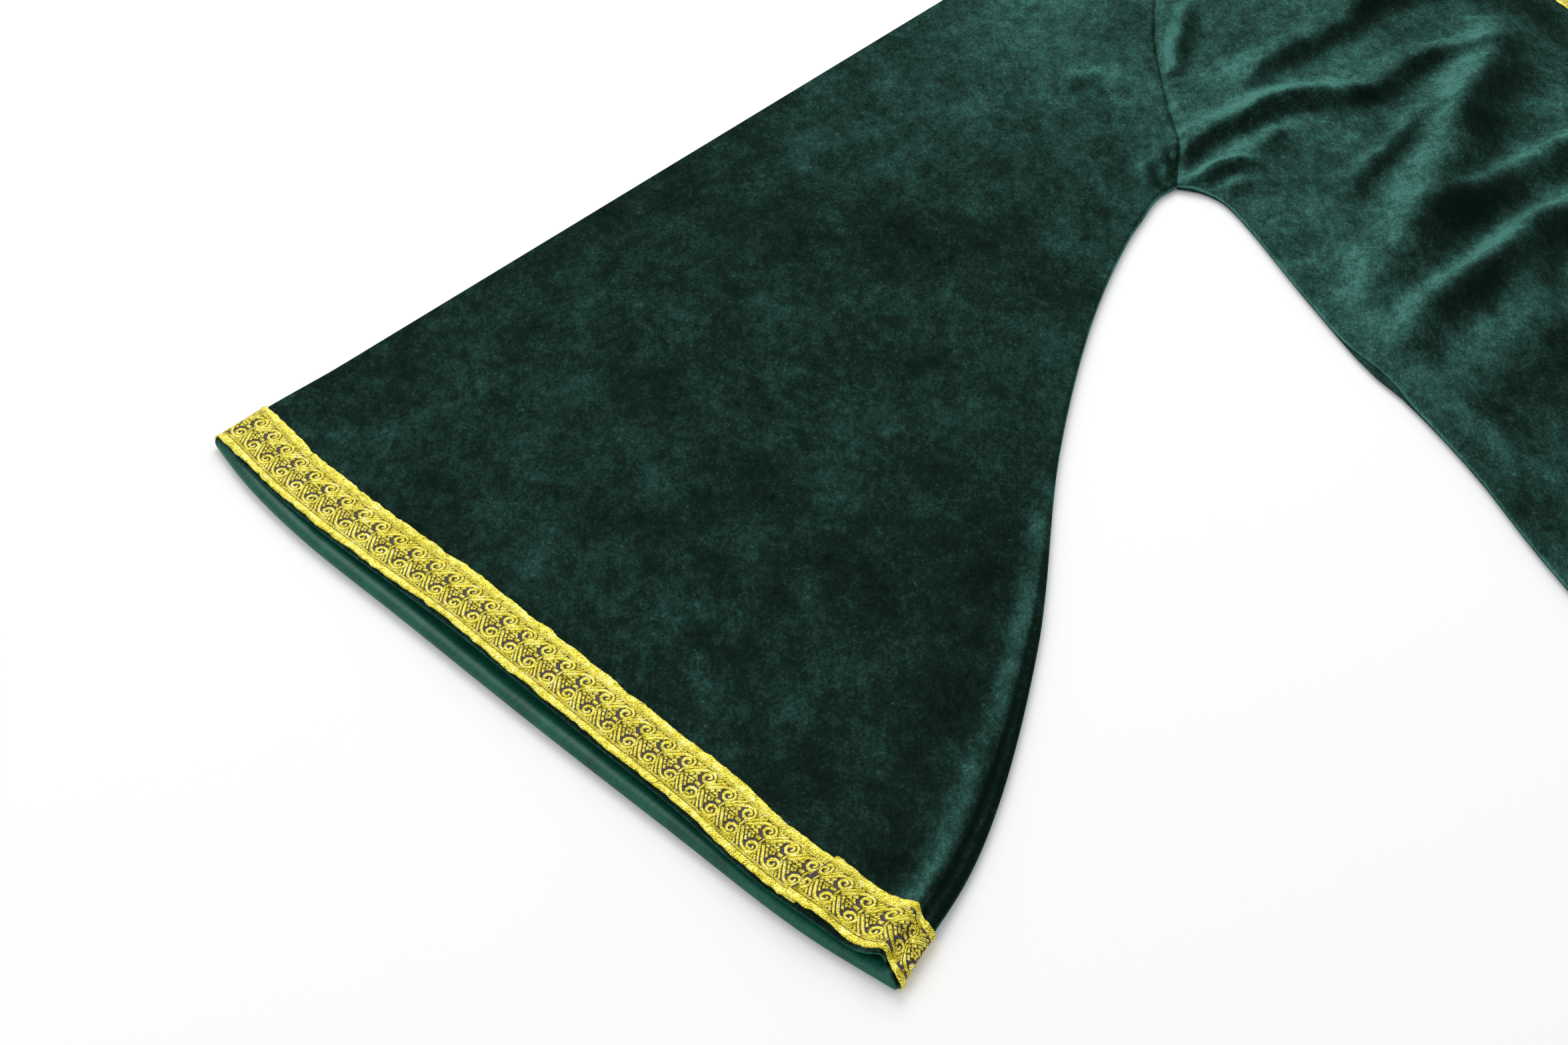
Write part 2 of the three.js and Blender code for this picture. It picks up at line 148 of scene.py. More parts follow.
STEEPEST = 0.7  # slope from which the painted shade and light get no stronger
# strength of the painted shade and light on slopes
SLOPE_SHADE_STRENGTH = 0.66
RIM_SHEEN_PAINT = 0.42  # painted sheen: rims seen from the side are painted lighter
CLUMP_LIE = 1.03  # direction in which tufts of the pile lean together, in radians from +X


# ---- curves
class Curve:
    """A centripetal Catmull-Rom curve through points, read by share of its length."""

    STEPS = 32

    def __init__(self, points):
        points = np.array(points, float)
        control = np.vstack([2 * points[0] - points[1], points, 2 * points[-1] - points[-2]])
        share = np.arange(self.STEPS)[:, None] / self.STEPS
        parts = []
        for p0, p1, p2, p3 in zip(control, control[1:], control[2:], control[3:]):
            d0, d1, d2 = (np.linalg.norm(b - a) ** 0.5 for a, b in ((p0, p1), (p1, p2), (p2, p3)))
            t1 = d1 * ((p1 - p0) / d0 - (p2 - p0) / (d0 + d1) + (p2 - p1) / d1)
            t2 = d1 * ((p2 - p1) / d1 - (p3 - p1) / (d1 + d2) + (p3 - p2) / d2)
            cubic = 2 * p1 - 2 * p2 + t1 + t2
            square = 3 * p2 - 3 * p1 - 2 * t1 - t2
            parts.append(p1 + t1 * share + square * share**2 + cubic * share**3)
        self.points = np.vstack([*parts, points[-1:]])
        steps = np.linalg.norm(np.diff(self.points, axis=0), axis=1)
        along = np.concatenate([[0], np.cumsum(steps)])
        self.length = along[-1]
        self.shares = along / self.length

    def at(self, share):
        return np.stack([np.interp(share, self.shares, self.points[:, k]) for k in (0, 1)], -1)


def smoothstep(x, low, high):
    t = np.clip((x - low) / (high - low), 0, 1)
    return t * t * (3 - 2 * t)


def hump(x, at, width):
    """1 at a place, and next to nothing from twice the width away."""
    return np.exp(-(((x - at) / width) ** 2))


def between(ends, share):
    """The value at a share of the way from one end to the other."""
    return ends[0] + (ends[1] - ends[0]) * share


def cross(a, b):
    return a[..., 0] * b[..., 1] - a[..., 1] * b[..., 0]


def neckline(depth, degrees):
    angle = np.radians(degrees)
    return np.stack([HALF_NECK * np.cos(angle) - HALF_CHEST, NECK_POINT - depth * np.sin(angle)], -1)


side_seam = Curve(SIDE_SEAM)
underarm = Curve(UNDERARM)
cuff = Curve(CUFF)
top_fold = Curve([CUFF[-1], neckline(0.0, 0.0)])
raglan = {k: Curve([*RAGLAN, neckline(NECK_DEPTH[k], NECK_SEAM_ANGLE[k])]) for k in NECK_DEPTH}
SLEEVE_LENGTH = underarm.length


def sleeve_end(layer, across):
    seam = raglan[layer].at(np.minimum(across / SEAM_SHARE, 1))
    rest = np.clip((1 - across) / (1 - SEAM_SHARE), 0, 1)
    neck = neckline(NECK_DEPTH[layer], NECK_SEAM_ANGLE[layer] * rest)
    return np.where((across <= SEAM_SHARE)[..., None], seam, neck)


def sleeve_place(layer, along, across):
    """A place on one layer of the sleeve, from its four bounding curves."""
    along, across = np.broadcast_arrays(along, across)
    s, w = along[..., None], across[..., None]
    end = sleeve_end(layer, np.array([0.0, 1.0]))
    start = cuff.at(np.array([0.0, 1.0]))
    place = (1 - w) * underarm.at(along) + w * top_fold.at(along)
    place += (1 - s) * (cuff.at(across) - (1 - w) * start[0] - w * start[1])
    place += s * (sleeve_end(layer, across) - (1 - w) * end[0] - w * end[1])
    return place


def sleeve_width(along):
    return np.linalg.norm(top_fold.at(along) - underarm.at(along), axis=-1)


# ---- heights
def soft_noise(x, y, size, seed):
    """Smooth noise from -1 to 1 over a plane, with lumps about size across."""
    count = 64
    table = np.random.default_rng(seed).uniform(-1, 1, (count, count))
    u, v = np.asarray(x) / size, np.asarray(y) / size
    i, j = np.floor(u).astype(int), np.floor(v).astype(int)
    a, b = u - i, v - j
    a, b = a * a * (3 - 2 * a), b * b * (3 - 2 * b)
    corner = lambda di, dj: table[(i + di) % count, (j + dj) % count]
    low = corner(0, 0) * (1 - a) + corner(1, 0) * a
    high = corner(0, 1) * (1 - a) + corner(1, 1) * a
    return low * (1 - b) + high * b


def line_noise(x, size, seed, row=0.0):
    """Smooth noise that changes with x alone. Every row has its own."""
    return soft_noise(x, row + 0 * x, size, seed)


def fold_height(folds, place):
    """Height of the folds at places given as (out, up)."""
    at = np.stack([-place[..., 0], place[..., 1]], -1)
    height = np.zeros(at.shape[:-1])
    for number, (points, steep, easy, crest_height) in enumerate(folds):
        crest = Curve(points)
        share = np.linspace(0, 1, 40)
        line = crest.at(share)
        reach = 3 * max(steep, easy)  # beyond it the fold has no height
        near = np.all((at > line.min(0) - reach) & (at < line.max(0) + reach), axis=-1)
        local = at[near]
        nearest = ((local[:, None] - line) ** 2).sum(-1).argmin(1)
        run = np.gradient(line, axis=0)
        run /= np.linalg.norm(run, axis=1)[:, None]
        offset, run = local - line[nearest], run[nearest]
        along = share[nearest] + (offset * run).sum(-1) / crest.length

        def change(kind, seed, row):
            amount, size = kind
            return amount * line_noise(along * crest.length, size, seed, row)

        aside = cross(offset, run) + change(FOLD_WANDER, 400 + number, 0)
        rise = np.clip(4 * along * (1 - along), 0, 1) ** 0.6
        breadth = np.where(aside > 0, steep, easy) * (1 + change(FOLD_BREADTH, number, 3))
        swell = 1 + change(FOLD_SWELL, 500 + number, 9)
        ridge = hump(aside, 0, breadth)
        hollow = hump(aside, 1.9 * steep, steep)
        height[near] += crest_height * swell * rise * (ridge - TROUGH * hollow)
    return height


def settled(rise, soft=0.6):
    """A rise that no hollow takes below the layer that the cloth lies on."""
    return np.where(rise > soft, rise, soft * np.exp(np.minimum(rise, soft) / soft - 1)) - soft / math.e


def lip(distance, radius=1.4):
    """How full the cloth's thickness is near a turned edge: 0 at the edge, 1 from radius inwards."""
    return np.sqrt(np.clip(1 - (1 - np.clip(distance / radius, 0, 1)) ** 2, 1e-4, 1))


def patch_shade_and_tone(side, out, up):
    """How much lighter the patches paint the cloth: partly painted shade and light, partly the pile's own
    tone.
    """
    aside, lift = (0, 0) if side < 0 else LEFT_PATCH_SHIFT
    light = 0 * out
    for inwards, level, width, height, amount in SHADE_AND_NAP_PATCHES:
        light = light + amount * hump(-out, inwards + aside, width) * hump(up, level + lift, height)
    return light


def settle(side, place, z):
    return np.stack([side * (HALF_CHEST + place[..., 0]), place[..., 1] + ORIGIN_UP, z], -1)


# ---- meshes
def add_object(name, data):
    thing = bpy.data.objects.new(name, data)
    bpy.context.scene.collection.objects.link(thing)
    return thing


def mesh_piece(name, points, quads, materials, slots=None, nap_and_shade=None):
    """A smooth mesh object from points in millimetres."""
    mesh = bpy.data.meshes.new(name)
    count = len(quads)
    mesh.vertices.add(len(points))
    mesh.vertices.foreach_set("co", (np.asarray(points, np.float32) * MM).ravel())
    mesh.loops.add(4 * count)
    mesh.loops.foreach_set("vertex_index", quads.ravel().astype(np.int32))
    mesh.polygons.add(count)
    mesh.polygons.foreach_set("loop_start", np.arange(0, 4 * count, 4, dtype=np.int32))
    mesh.polygons.foreach_set("loop_total", np.full(count, 4, np.int32))
    for material in materials:
        mesh.materials.append(material)
    if slots is not None:
        mesh.polygons.foreach_set("material_index", np.asarray(slots, np.int32))
    mesh.polygons.foreach_set("use_smooth", np.ones(count, bool))
    mesh.update(calc_edges=True)
    # the pile's tone together with painted shade, light and sheen
    if nap_and_shade is not None:
        layer = mesh.attributes.new("nap_and_shade", "FLOAT", "POINT")
        layer.data.foreach_set("value", np.asarray(nap_and_shade, np.float32).ravel())
    piece = add_object(name, mesh)
    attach(piece, "root")
    return piece


def grid_quads(rows, columns, ring=False):
    i, j = np.meshgrid(np.arange(rows - 1), np.arange(columns if ring else columns - 1), indexing="ij")
    k = (j + 1) % columns
    quads = np.stack([i * columns + j, i * columns + k, (i + 1) * columns + k, (i + 1) * columns + j], -1)
    return quads.reshape(-1, 4)


def painted_slope_shading(points, quads, inner):
    """Painted shade where the cloth slopes down the set direction, painted light where it slopes the other
    way, and a painted sheen on steep rims.

    inner is 1 inside a panel and falls to 0 at its turned edges, for each point of the wall's outer grid.
    """
    a, b, c, d = (points[quads[:, k]] for k in range(4))
    face = np.cross(c - a, d - b)
    normals = np.zeros_like(points)
    for k in range(4):
        np.add.at(normals, quads[:, k], face)
    normals /= np.maximum(np.linalg.norm(normals, axis=1), 1e-9)[:, None]
    down_skirt = smoothstep(-points[:, 1], *SKIRT_SHADE_BLEND)
    # the slope that sets the painted shade and light
    slope = normals @ SHADED_SLOPE_DIRECTION + down_skirt * (normals @ SKIRT_SHADED_SLOPE_DIRECTION)
    slope = np.clip(slope, -STEEPEST, STEEPEST)
    # painted sheen on rims that stand steep
    rim = RIM_SHEEN_PAINT * (1 - smoothstep(normals[:, 2], 0.15, 0.8))
    share = 0.2 + 0.8 * np.tile(inner.ravel(), 2)
    return rim - SLOPE_SHADE_STRENGTH * slope * share * smoothstep(normals[:, 2], 0.3, 0.6)


def facing_out(points, quads):
    """The quads, turned if they face into the solid that they close."""
    a, b, c, d = (points[quads[:, k]] for k in range(4))
    volume = (a * np.cross(b, c)).sum() + (a * np.cross(c, d)).sum()
    return quads if volume > 0 else quads[:, ::-1]


def wall(outer, inner, ring=False):
    """The points and quads of a closed wall between two grids, and which quads are of the inner grid."""
    rows, columns = outer.shape[:2]
    count = rows * columns
    face = grid_quads(rows, columns, ring)
    number = np.arange(count).reshape(rows, columns)
    edges = [number[0], number[-1][::-1]]
    if ring:
        edges = [np.append(e, e[0]) for e in edges]
    else:
        edges += [number[::-1, 0], number[:, -1]]
    rims = [np.stack([e[:-1], e[:-1] + count, e[1:] + count, e[1:]], -1) for e in edges]
    quads = np.vstack([face, face[:, ::-1] + count, *rims])
    points = np.concatenate([outer.reshape(-1, 3), inner.reshape(-1, 3)])
    inside = np.zeros(len(quads), int)
    inside[len(face):2 * len(face)] = 1
    return points, facing_out(points, quads), inside


def flat_area(place):
    """Area of a grid of places on the level, in square metres."""
    area = cross(place[1:, 1:] - place[:-1, :-1], place[1:, :-1] - place[:-1, 1:])
    return np.abs(area).sum() / 2 * MM**2


def spread(low, high, step):
    """Even values from low to high, about step apart, both ends included."""
    return np.linspace(low, high, max(2, round(abs(high - low) / step) + 1))


def joined(*parts):
    """All the values in order, each one once."""
    return np.unique(np.round(np.concatenate([np.atleast_1d(p) for p in parts]), 5))


FINE = (0.0, 0.12, 0.4, 0.85, 1.5, 2.3, 3.3, 4.6)  # distances from a turned edge or a seam


# ---- sleeves
# A ring round a sleeve is a table of columns: distance from the underarm edge, distance from the top fold,
# share of the way between those two, angle of the cloth's outward side above the level, and which edge.
HALF = CLOTH / 2
EDGE_ANGLES = (78, 64, 48, 32, 16, 0, -16, -32, -48, -64, -78)

# Near the cuff the underarm edge is rolled onto the front. Beside the roll runs a crease, and beyond that the
# cloth swells, narrow at the cuff and broad further up.
CREASE = [(0, 6.4), (0.05, 5.4), (0.16, 5.2), (0.35, 3.6), (0.56, 0)]  # along, distance from the edge
CREASE_DEPTH, CREASE_WIDTH = 3.0, 1.25
ROLL_HEIGHT = 0.8
SWELL_HEIGHT, SWELL_AT_CUFF = 2.4, 1.9  # and what is added at the cuff
SWELL_BEYOND = (3.6, 6.0)  # distance of the swell from the crease, at the cuff and further up
SWELL_STEEP = (2.6, 5.5)  # its width on the crease's side, at the cuff and further up
SWELL_EASY = 8.0  # its width on the other side

MOUTH_ARCH = 3.0  # how much further the front's hem draws back beside the underarm edge
MOUTH_SAG = {"at": 0.17, "width": 0.07, "share": 0.35}  # across the hem, where it draws back less
MOUTH_RISE = {"height": 2.4, "at": 34, "width": 15, "along": 0.09}  # the fold that stands in the mouth


def ring_column(low=MIDDLE, high=MIDDLE, share=0.0, angle=90.0, edge=0):
    return low, high, share, math.radians(angle), edge


def edge_columns(edge, angles):
    return [ring_column(share=max(edge, 0), angle=a, edge=edge) for a in angles]


def ring_columns():
    level = EDGE_ANGLES.index(0)
    columns = edge_columns(-1, EDGE_ANGLES[level::-1])
    near = spread(MIDDLE, 15, 0.72)
    columns += [ring_column(low=d) for d in near[:-1]]
    columns += [ring_column(low=15, high=6, share=t) for t in spread(0, 1, 1 / 104)]
    columns += [ring_column(high=d, share=1) for d in (4.2, MIDDLE)]
    columns += edge_columns(1, EDGE_ANGLES)
    columns += [ring_column(share=1 - t, angle=-90) for t in spread(0, 1, 1 / 38)]
    columns += edge_columns(-1, EDGE_ANGLES[:level:-1])
    return np.array(columns).T


def ribbon_share(across):
    """The ribbon's width as a share of the way from the cuff to the armpit."""
    step = sleeve_place("front", np.full_like(across, 0.05), across) - cuff.at(across)
    ahead, behind = cuff.at(np.minimum(across + 0.004, 1)), cuff.at(np.maximum(across - 0.004, 0))
    tangent = (ahead - behind) / np.linalg.norm(ahead - behind, axis=-1)[..., None]
    return 0.05 * RIBBON_WIDTH / np.abs(cross(step, tangent))


def edge_slant(along, across):
    """How much longer a distance from an edge is across the sleeve than square to that edge."""
    inwards = 0.02 if across == 0 else 0.98
    edge = lambda share: sleeve_place("front", share, np.full_like(share, float(across)))
    tangent = edge(np.minimum(along + 0.01, 1)) - edge(np.maximum(along - 0.01, 0))
    step = sleeve_place("front", along, np.full_like(along, inwards)) - edge(along)
    sine = np.abs(cross(tangent, step)) / (np.linalg.norm(tangent, axis=-1) * np.linalg.norm(step, axis=-1))
    return 1 / np.maximum(sine, 0.5)


def crease_height(along, low):
    """Height of the roll, the crease and the swell, at a distance from the underarm edge."""
    at = np.interp(along, *np.array(CREASE).T)
    crease = -CREASE_DEPTH * hump(low, at, CREASE_WIDTH)
    roll = ROLL_HEIGHT * hump(low, 0.5 * at, 0.3 * at + 0.5)
    up_sleeve = smoothstep(along, 0.02, 0.16)
    beyond = low - at - between(SWELL_BEYOND, up_sleeve)
    width = np.where(beyond < 0, between(SWELL_STEEP, up_sleeve), SWELL_EASY)
    swell = (SWELL_HEIGHT + SWELL_AT_CUFF * np.exp(-along / 0.06)) * hump(beyond, 0, width)
    fade = 1 - smoothstep(along, 0.0, CREASE[-1][0])
    return fade * (crease + roll + swell) * smoothstep(low, 0.8, 2.6)


def sleeve_surface(side, folds, hem_mm, ring, shift):
    """Points of a sleeve at distances from its hem, on a ring, shifted out of the cloth's middle."""
    low, high, share, angle, edge = ring
    hem_mm = hem_mm[:, None]
    beyond = np.clip((hem_mm - RIBBON_WIDTH) / (SLEEVE_LENGTH - RIBBON_WIDTH), 0, 1)
    along = np.minimum(hem_mm / RIBBON_WIDTH, 1) * ribbon_share(share + 0 * hem_mm) * (1 - beyond) + beyond
    width = sleeve_width(along)
    reach = (MIDDLE - HALF + shift) * np.cos(angle)
    from_low = (low - reach * (edge < 0)) * edge_slant(along, 0)
    from_high = (high - reach * (edge > 0)) * edge_slant(along, 1)
    across = ((1 - share) * from_low - share * from_high) / width + share
    drawn = np.clip(across, 0, 1)
    sag = MOUTH_SAG["share"] * hump(drawn, MOUTH_SAG["at"], MOUTH_SAG["width"])
    hem_line = HEM_PULL * np.sqrt(np.sin(np.pi * drawn)) * (1 - sag)
    hem_line += MOUTH_ARCH * hump(drawn * width, 8, 5) * smoothstep(drawn * width, 2, 6)
    pull = hem_line / SLEEVE_LENGTH * (1 - along)
    upper = np.maximum(np.sin(angle), 0) + 0 * along
    front = sleeve_place("front", np.minimum(along + pull * upper, 1), drawn)
    place = np.where((angle >= 0)[:, None], front, sleeve_place("back", along, drawn))
    place += (across - drawn)[..., None] * (sleeve_place("front", along, 1 + 0 * drawn) - underarm.at(along))
    puff = SLEEVE_PUFF * np.sin(np.pi * drawn) * (1 - smoothstep(along, 0.8, 1))
    rise = puff + fold_height(folds, place) * smoothstep(np.minimum(drawn, 1 - drawn) * width, 0, 8)
    rise = settled(rise + sleeve_details(side, along, drawn * width, drawn, place))
    lift = CUFF_LIFT * (1 - smoothstep(beyond * SLEEVE_LENGTH, 0, LIFT_EASE))
    z = lift + MIDDLE + (MIDDLE - HALF + shift) * np.sin(angle) + rise * upper
    return settle(side, place, z)


def sleeve_details(side, along, low, across, place):
    """Height of the soft unevenness, the fold in the mouth and the rolled edge."""
    seed = 11 if side < 0 else 31
    inner = np.sqrt(np.clip(np.sin(np.pi * across), 0, 1))
    x, y = place[..., 0], place[..., 1]
    soft = 0.6 * soft_noise(x, y, 62.0, seed) + 0.3 * soft_noise(x, y, 21.0, seed + 1)
    mouth = MOUTH_RISE["height"] * hump(low, MOUTH_RISE["at"], MOUTH_RISE["width"])
    mouth = mouth * hump(along, 0, MOUTH_RISE["along"])
    mouth += 0.7 * line_noise(low, 48.0, seed + 2) * hump(along, 0, 0.1)
    return inner * (soft + mouth) * (1 - smoothstep(along, 0.93, 1)) + crease_height(along, low)


def crease_light_and_shade(along, low):
    """Painted shade on the rolled underarm edge, and a painted light band inside the crease."""
    at = np.interp(along, *np.array(CREASE).T)
    fade = 1 - smoothstep(along, 0.32, 0.6)
    uneven = 1 + 0.45 * line_noise(along * SLEEVE_LENGTH, 26.0, 91)
    reach = 9 + 5 * line_noise(along * SLEEVE_LENGTH, 37.0, 92, 5)
    light = smoothstep(low, at, at + 2) * (1 - smoothstep(low, at + 3, at + 5 + reach))
    return fade * (0.34 * uneven * light - 0.14 * (1 - smoothstep(low, at - 0.6, at + 0.8)))


SEAM_DEPTH, SEAM_HALF = 0.85, 3.4
PUCKER_HEIGHT, PUCKER_LENGTH = 0.42, 5.5
SEAM_RUN = 330  # length of the raglan seam, for the puckers along it
HEM_BULGE, HEM_BULGE_HALF = 1.5, 3.6  # of the lower layer's hem, where its edge is folded


def seam_valley(distance, run, seed):
    """The hollow beside a seam and the small puckers that run into it."""
    hollow = -SEAM_DEPTH * (1 - smoothstep(distance, 0, SEAM_HALF))
    pucker = PUCKER_HEIGHT * line_noise(run, PUCKER_LENGTH, seed) * hump(distance, 0, 7)
    return hollow + pucker * smoothstep(distance, 0, 2)


def sleeve(name, side, folds):
    mm = joined(FINE, spread(4.6, 30, 1.9), spread(30, SLEEVE_LENGTH - 10, 4.2))
    mm = joined(mm, spread(SLEEVE_LENGTH - 10, SLEEVE_LENGTH - 3.3, 1.4), SLEEVE_LENGTH - np.array(FINE[:-1]))
    ring = ring_columns()
    angle = ring[3]
    middle, outer, inner = (sleeve_surface(side, folds, mm, ring, shift) for shift in (0, HALF, -HALF))
    full = lip(mm, 1.5)[:, None, None]
    outer, inner = middle + (outer - middle) * full, middle + (inner - middle) * full
    to_seam = (SLEEVE_LENGTH - mm)[:, None] * 1.05 + 0 * angle
    run = np.linspace(0, SEAM_RUN, len(angle)) + 0 * to_seam
    outer[..., 2] += seam_valley(to_seam, run, 5) * np.sin(angle)
    outer[..., 2] = np.maximum(outer[..., 2], 0)
    bulge = HEM_BULGE * np.sqrt(np.clip(1 - (mm / HEM_BULGE_HALF - 1) ** 2, 0, 1))
    inner[..., 2] += bulge[:, None] * (angle < 0)
    points, quads, inside = wall(outer, inner, ring=True)
    along = (mm / SLEEVE_LENGTH)[:, None]
    width = sleeve_width(along[:, 0])[:, None]
    low = ring[0] + ring[2] * (width - ring[0] - ring[1])
    inner_share = smoothstep(np.minimum(low, width - low), 2.2, 6.5)
    # painted light and shade beside the crease, and painted shade on the sleeve beside the raglan seam
    bands = crease_light_and_shade(along, low) * (angle > 0)
    bands = bands - 0.03 * np.exp(-to_seam / 10) * np.exp(-low / 60)
    # the sleeve's tone with the painted shade and light of its slopes
    nap_and_shade = sleeve_tone_and_shade(side, points) + painted_slope_shading(points, quads, inner_share) + np.tile(bands.ravel(), 2)
    piece = mesh_piece(f"velour_{name}", points, quads, [velour, jersey], inside, nap_and_shade)
    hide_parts(name)
    along, across = np.meshgrid(np.linspace(0, 1, 60), np.linspace(0, 1, 60), indexing="ij")
    area = sum(flat_area(sleeve_place(layer, along, across)) for layer in ("front", "back"))
    return piece


def sleeve_tone_and_shade(side, points):
    """Lightness of a sleeve: lighter towards the shoulder, in faint clouds, and the patches of painted shade
    and light.
    """
    out, up = side * points[:, 0] - HALF_CHEST, points[:, 1] - ORIGIN_UP
    cloud = 0.06 * soft_noise(out, up, 120.0, 77) + 0.05 * soft_noise(out + 40, up, 63.0, 78)
    light = 0.32 + cloud + 0.29 * (1 - smoothstep(out, -90, 215))
    return light + patch_shade_and_tone(side, out, up)


# ---- body
def panel_rows(layer, skirt_mm, yoke_mm):
    """Rows of a panel: end on the side or raglan seam, end on the centre line, share up the yoke."""
    share = skirt_mm / side_seam.length
    seam = yoke_mm / raglan[layer].length
    edge = np.vstack([side_seam.at(share), raglan[layer].at(seam)])
    top = NECK_POINT - NECK_DEPTH[layer]
    centre = np.concatenate([-HEM_DROP * (1 - share), top * seam])
    return edge, centre, np.concatenate([0 * share, seam])


def front_places(edge, centre, yoke, columns):
    """Places on a front panel, and their distances from the side edge and from the front edge."""
    low, high, share = columns
    centre_out = HALF_OPENING - HALF_CHEST
    jog = SIDE_JOG["inset"] * hump(edge[:, 1], SIDE_JOG["up"], SIDE_JOG["length"])
    start = (edge[:, 0] - jog)[:, None]
    out = (1 - share) * (start - low) + share * (centre_out + high)
    part = np.clip((out - edge[:, :1]) / (centre_out - edge[:, :1]), 0, 1)
    up, mid, v = edge[:, 1:], centre[:, None], yoke[:, None]
    skirt_up = mid + (up - mid) * (1 - part) ** 2
    neck_edge, neck_start = neckline(NECK_DEPTH["front"], NECK_SEAM_ANGLE["front"])
    from_centre = (HALF_CHEST + neck_edge + (centre_out - neck_edge) * part) / HALF_NECK
    neck_up = NECK_POINT - NECK_DEPTH["front"] * np.sqrt(np.clip(1 - from_centre**2, 0, 1))
    dip = neck_up - between((neck_start, NECK_POINT - NECK_DEPTH["front"]), part)
    yoke_up = up + (mid - up) * part + dip * v**2
    place = np.stack([out, np.where(v > 0, yoke_up, skirt_up)], -1)
    return place, start - out, out - centre_out, part


def sewn(up):
    """1 where a panel's side is sewn to the sleeve, 0 below that."""
    return smoothstep(up, -12.0, 4.0)


def front_top(side, folds, place, low, part, seamed):
    """Height of the top of a front panel."""
    seed = 51 if side < 0 else 71
    x, y = place[..., 0], place[..., 1]
    puff = BODY_PUFF * smoothstep(part, 0, 0.2) * (1 - smoothstep(part, 0.8, 1))
    soft = 0.8 * soft_noise(x, y, 54.0, seed) + 0.45 * soft_noise(x, y, 19.0, seed + 1)
    soft *= smoothstep(part, 0, 0.1) * (1 - smoothstep(part, 0.88, 0.98))
    held = seamed + (1 - seamed) * smoothstep(low, 0, 8)
    rise = puff + soft + fold_height(folds, place) * held
    return LAYERED + settled(rise)


STITCH_DEPTH = 0.7  # of the line that holds the turned hem, and of the neckline's
FAR = 400  # a distance at which an edge has no effect


def end_distances(skirt, below_neck):
    """Distances of a panel's rows from its hem and from its neckline."""
    hem = np.concatenate([skirt, np.full_like(below_neck, FAR)])
    neck = np.concatenate([np.full_like(skirt, FAR), below_neck])
    return hem[:, None], neck[:, None]


def front(name, side, folds):
    length = side_seam.length
    skirt = joined(FINE, spread(4.6, 30, 4), spread(30, length - 360, 11),
                   spread(length - 360, length - 175, 4.2), spread(length - 175, length, 3.2))
    seam = raglan["front"].length
    yoke = joined(spread(1.5, 100, 2.3), spread(100, seam - 5, 3.6), seam - np.array(FINE))
    edge, centre, share = panel_rows("front", skirt, yoke)
    near = joined(FINE, spread(4.6, 60, 2.3))
    columns = [(d, FINE[5], 0) for d in near[:-1]]
    columns += [(60, FINE[5], t) for t in spread(0, 1, 1 / 62)]
    columns += [(60, d, 1) for d in FINE[4::-1]]
    place, low, high, part = front_places(edge, centre, share, np.array(columns).T)
    seamed = sewn(edge[:, 1:])
    top = front_top(side, folds, place, low, part, seamed)
    under = top - CLOTH - (top - CLOTH - MIDDLE) * (1 - np.clip(low / 0.3, 0, 1)) * (1 - seamed)
    top = top - (1 - seamed) * (MIDDLE * (1 - lip(low, MIDDLE)))
    run = np.concatenate([skirt - length, yoke])[:, None] + 0 * low
    top += seamed * seam_valley(low * 0.8, run, 6)
    hem, neck = end_distances(skirt, seam - yoke)
    full = lip(high, 1.0) * lip(hem, 1.2) * lip(neck, 1.2)
    groove = -STITCH_DEPTH * (hump(hem, 20, 1.6) + hump(neck, 9, 1.2))
    middle, half = (top + under) / 2, (top - under) / 2 * full
    outer = settle(side, place, middle + half + groove)
    inner = settle(side, place, middle - half)
    points, quads, inside = wall(outer, inner)
    out, up = side * points[:, 0] - HALF_CHEST, points[:, 1] - ORIGIN_UP
    nap_and_shade = 0.61 + 0.09 * soft_noise(out, up, 70.0, 79) + 0.09 * soft_noise(out, up, 29.0, 80)
    inner_share = np.maximum(seamed + 0 * low, smoothstep(low, 0.5, 5))
    # painted shade and light of the slopes, and the patches
    nap_and_shade += painted_slope_shading(points, quads, inner_share) + patch_shade_and_tone(side, out, up)
    # painted light on the front beside the raglan seam
    nap_and_shade += 0.05 * np.tile((seamed * np.exp(-low / 12)).ravel(), 2)
    nap_and_shade -= 0.09 * smoothstep(-up, 150, 230) * (1 - 0.5 * smoothstep(-up, 300, 500))
    piece = mesh_piece(f"velour_{name}", points, quads, [velour, jersey], inside, nap_and_shade)
    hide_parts(name)
    return piece


